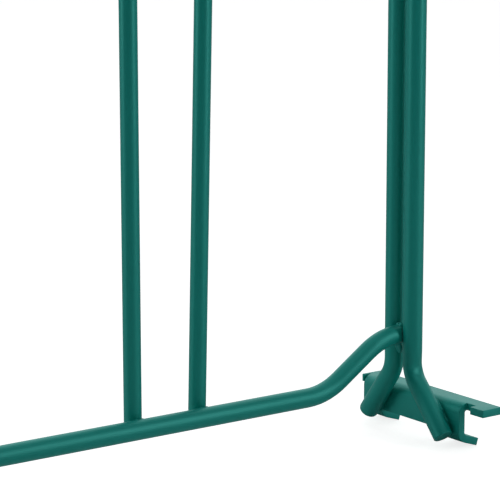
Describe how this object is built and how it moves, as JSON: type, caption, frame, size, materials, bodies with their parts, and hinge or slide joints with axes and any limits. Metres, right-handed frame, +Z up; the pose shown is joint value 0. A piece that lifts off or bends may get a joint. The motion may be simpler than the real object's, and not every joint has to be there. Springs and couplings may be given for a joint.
{
  "type": "round bale feeder",
  "caption": "Square feeder of round tube panels that stands round a bale; head gaps between upright rods, corners pinned by drop rods, one panel swings as a gate on a folded ground shoe.",
  "frame": {"origin": "on the ground, under the middle of the feeder's box with the gate standing open", "axes": "+Z up, +X from the closed square towards the open gate's free end, +Y towards the side that the gate hangs on"},
  "size_m": [3.4454, 1.823, 1.0855],
  "materials": {
    "green_powder_coat": "semi-gloss opal green powder coat with fine orange peel",
    "zinc_plate": "bright zinc plate",
    "cap_plastic": "moulded black polyethylene",
    "bush_nylon": "moulded black nylon"
  },
  "bodies": {
    "back": {"back_bottom_rail": "green_powder_coat", "back_top_rail": "green_powder_coat", "back_rods": "green_powder_coat", "back_inner_post": "green_powder_coat", "back_outer_post": "green_powder_coat", "back_shoe": "green_powder_coat", "back_start_post": "green_powder_coat", "back_ground_tongue": "green_powder_coat", "back_shoe_end_eyes": "green_powder_coat", "back_start_end_eyes": "green_powder_coat", "back_end_caps": "cap_plastic"},
    "hinge_side": {"hinge_side_bottom_rail": "green_powder_coat", "hinge_side_top_rail": "green_powder_coat", "hinge_side_rods": "green_powder_coat", "hinge_side_inner_post": "green_powder_coat", "hinge_side_outer_post": "green_powder_coat", "hinge_side_shoe": "green_powder_coat", "hinge_side_start_post": "green_powder_coat", "hinge_side_ground_tongue": "green_powder_coat", "hinge_side_shoe_end_eyes": "green_powder_coat", "hinge_side_start_end_eyes": "green_powder_coat", "hinge_side_end_caps": "cap_plastic"},
    "gate": {"gate_bottom_rail": "green_powder_coat", "gate_top_rail": "green_powder_coat", "gate_rods": "green_powder_coat", "gate_inner_post": "green_powder_coat", "gate_outer_post": "green_powder_coat", "gate_shoe": "green_powder_coat", "gate_start_post": "green_powder_coat", "gate_ground_tongue": "green_powder_coat", "gate_shoe_end_eyes": "green_powder_coat", "gate_start_end_eyes": "green_powder_coat", "gate_end_caps": "cap_plastic", "bolt_bush": "bush_nylon"},
    "latch_side": {"latch_side_bottom_rail": "green_powder_coat", "latch_side_top_rail": "green_powder_coat", "latch_side_rods": "green_powder_coat", "latch_side_inner_post": "green_powder_coat", "latch_side_outer_post": "green_powder_coat", "latch_side_shoe": "green_powder_coat", "latch_side_start_post": "green_powder_coat", "latch_side_ground_tongue": "green_powder_coat", "latch_side_shoe_end_eyes": "green_powder_coat", "latch_side_start_end_eyes": "green_powder_coat", "latch_side_end_caps": "cap_plastic"},
    "gate_hinge_rod": {"gate_hinge_rod": "zinc_plate"},
    "rear_corner_rod": {"rear_corner_rod": "zinc_plate"},
    "front_corner_rod": {"front_corner_rod": "zinc_plate"},
    "gate_bolt": {"gate_bolt": "zinc_plate"}
  },
  "joints": [
    {"name": "gate_swing", "type": "hinge", "parent": "hinge_side", "child": "gate", "pos_m": [0.0361, 0.8268, 0.5], "axis": [0, 0, 1], "range_deg": [-90, 90]},
    {"name": "hinge_side_fold", "type": "hinge", "parent": "back", "child": "hinge_side", "pos_m": [-1.638, 0.8473, 0.5], "axis": [0, 0, 1], "range_deg": [0, 90]},
    {"name": "latch_side_fold", "type": "hinge", "parent": "back", "child": "latch_side", "pos_m": [-1.6585, -0.8268, 0.5], "axis": [0, 0, 1], "range_deg": [-90, 0]},
    {"name": "gate_hinge_rod_lift", "type": "slide", "parent": "hinge_side", "child": "gate_hinge_rod", "axis": [0, 0, 1], "range_m": [0, 0.49]},
    {"name": "rear_corner_rod_lift", "type": "slide", "parent": "back", "child": "rear_corner_rod", "axis": [0, 0, 1], "range_m": [0, 0.49]},
    {"name": "front_corner_rod_lift", "type": "slide", "parent": "back", "child": "front_corner_rod", "axis": [0, 0, 1], "range_m": [0, 0.49]},
    {"name": "gate_bolt_drop", "type": "slide", "parent": "gate", "child": "gate_bolt", "axis": [0, 0, -1], "range_m": [0, 0.04]}
  ]
}
